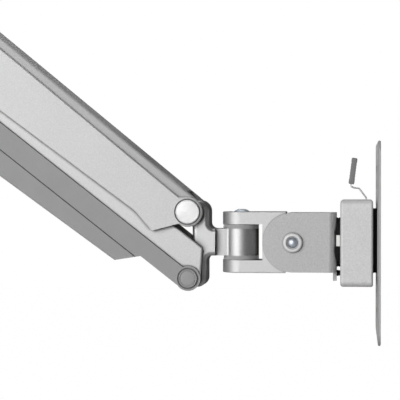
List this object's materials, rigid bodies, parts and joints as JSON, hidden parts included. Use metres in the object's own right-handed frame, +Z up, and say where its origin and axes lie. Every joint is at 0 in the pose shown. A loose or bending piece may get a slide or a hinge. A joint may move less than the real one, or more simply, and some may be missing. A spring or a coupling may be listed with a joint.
{
  "type": "full motion tv wall mount",
  "caption": "Spring balanced parallel arm on a wall swivel that carries a flat screen's plate on a head which swivels, tilts and turns, with a pull tab that frees the plate.",
  "frame": {"origin": "on the wall, at the middle of the wall plate's back face and of its four wall holes", "axes": "+X away from the wall, +Z up, +Y across the wall"},
  "size_m": [0.6082, 0.216, 0.4572],
  "materials": {
    "cover_silver": "fine metallic silver paint, satin",
    "channel_silver": "silver powder coat, satin",
    "link_silver": "silver powder coat, satin",
    "casting_silver": "die casting in silver paint, satin",
    "bracket_silver": "fine metallic silver paint, satin",
    "box_silver": "die casting in fine metallic silver paint",
    "plate_grey": "grey powder coat, satin",
    "cable_grey": "moulded grey, fine texture",
    "spun_aluminium": "face turned bright",
    "bush_polymer": "moulded light grey, low friction",
    "turn_bush_polymer": "moulded natural, low friction",
    "zinc_steel": "bright zinc plate",
    "ground_steel": "ground",
    "rod_chrome": "polished",
    "cylinder_black": "black paint, semi-gloss",
    "spring_wire": "drawn wire",
    "friction_fibre": "pressed fibre",
    "black_rubber": "matt moulded",
    "tab_grey": "moulded grey, fine texture"
  },
  "bodies": {
    "wall": {"wall_plate": "channel_silver", "wall_clevis": "casting_silver", "wall_clevis_screws": "zinc_steel", "wall_swivel_bolt": "zinc_steel", "wall_swivel_nut": "zinc_steel"},
    "rear_knuckle": {"rear_knuckle": "casting_silver", "wall_swivel_bushes": "bush_polymer", "rear_pivot_bushes": "bush_polymer", "counterbalance_cam": "ground_steel", "cam_dowel": "ground_steel"},
    "upper_arm": {"upper_arm_channel": "channel_silver", "upper_cover_near": "cover_silver", "upper_cover_far": "cover_silver", "rear_upper_pin": "ground_steel", "front_upper_pin": "ground_steel", "rear_upper_caps": "spun_aluminium", "front_upper_caps": "spun_aluminium", "spring_cylinder": "cylinder_black", "spring_anchor_pin": "ground_steel"},
    "spring_rod": {"spring_rod": "rod_chrome", "roller_fork": "zinc_steel", "roller_pin": "ground_steel"},
    "cam_roller": {"cam_roller": "ground_steel"},
    "lower_link": {"lower_link": "link_silver", "cable_cover": "cable_grey", "rear_lower_pin": "ground_steel", "front_lower_pin": "ground_steel", "rear_lower_caps": "cable_grey", "front_lower_caps": "cable_grey"},
    "front_knuckle": {"front_knuckle": "casting_silver", "front_pivot_bushes": "bush_polymer", "head_swivel_bushes": "bush_polymer"},
    "head_clevis": {"head_clevis": "casting_silver", "head_swivel_bolt": "zinc_steel", "head_swivel_nut": "zinc_steel"},
    "tilt_bracket": {"tilt_bracket": "bracket_silver", "tilt_friction_discs": "friction_fibre", "tilt_washers": "zinc_steel", "tilt_bolt": "zinc_steel", "tilt_nut": "zinc_steel", "turn_pads": "black_rubber", "turn_glides": "turn_bush_polymer", "turn_bolt": "zinc_steel", "turn_nut": "zinc_steel", "turn_bumper": "black_rubber"},
    "head_box": {"head_box": "box_silver", "turn_bush": "turn_bush_polymer", "box_front_plate": "plate_grey", "front_plate_screws": "zinc_steel", "plate_pad": "black_rubber", "screen_plate": "plate_grey", "plate_studs": "zinc_steel", "latch_spring": "spring_wire"},
    "release_latch": {"latch_slide": "zinc_steel", "release_wire": "spring_wire", "release_tab": "tab_grey"}
  },
  "joints": [
    {"name": "wall_swivel", "type": "hinge", "parent": "wall", "child": "rear_knuckle", "pos_m": [0.056, 0, 0], "axis": [0, 0, 1], "range_deg": [-90, 90]},
    {"name": "arm_lift", "type": "hinge", "parent": "rear_knuckle", "child": "upper_arm", "pos_m": [0.113, 0, 0.034], "axis": [0, -1, 0], "range_deg": [-7, 68]},
    {"name": "lower_link_swing", "type": "hinge", "parent": "rear_knuckle", "child": "lower_link", "pos_m": [0.113, 0, -0.04], "axis": [0, -1, 0], "range_deg": [-7, 68]},
    {"name": "front_knuckle_level", "type": "hinge", "parent": "upper_arm", "child": "front_knuckle", "pos_m": [0.39668, 0, -0.18764], "axis": [0, -1, 0], "range_deg": [-68, 7]},
    {"name": "spring_rod_slide", "type": "slide", "parent": "upper_arm", "child": "spring_rod", "axis": [0.788, 0, -0.6157], "range_m": [-0.0205, 0.0025]},
    {"name": "roller_spin", "type": "hinge", "parent": "spring_rod", "child": "cam_roller", "pos_m": [0.1549, 0, 0.00126], "axis": [0, 1, 0], "continuous": true},
    {"name": "head_swivel", "type": "hinge", "parent": "front_knuckle", "child": "head_clevis", "pos_m": [0.45368, 0, -0.22164], "axis": [0, 0, 1], "range_deg": [-75, 75]},
    {"name": "head_tilt", "type": "hinge", "parent": "head_clevis", "child": "tilt_bracket", "pos_m": [0.51268, 0, -0.22164], "axis": [0, -1, 0], "range_deg": [-90, 90]},
    {"name": "plate_turn", "type": "hinge", "parent": "tilt_bracket", "child": "head_box", "pos_m": [0.56068, 0, -0.21924], "axis": [1, 0, 0], "range_deg": [-90, 90]},
    {"name": "latch_pull", "type": "slide", "parent": "head_box", "child": "release_latch", "axis": [0, 0, 1], "range_m": [0, 0.008], "stiffness_N_per_m": 900, "springref_m": -0.006, "deforming": ["latch_spring"]}
  ],
  "couplings": [
    {"joint": "lower_link_swing", "follows": "arm_lift", "ratio": 1},
    {"joint": "front_knuckle_level", "follows": "arm_lift", "ratio": -1},
    {"joint": "spring_rod_slide", "follows": "arm_lift", "m_per_rad": -0.017}
  ]
}
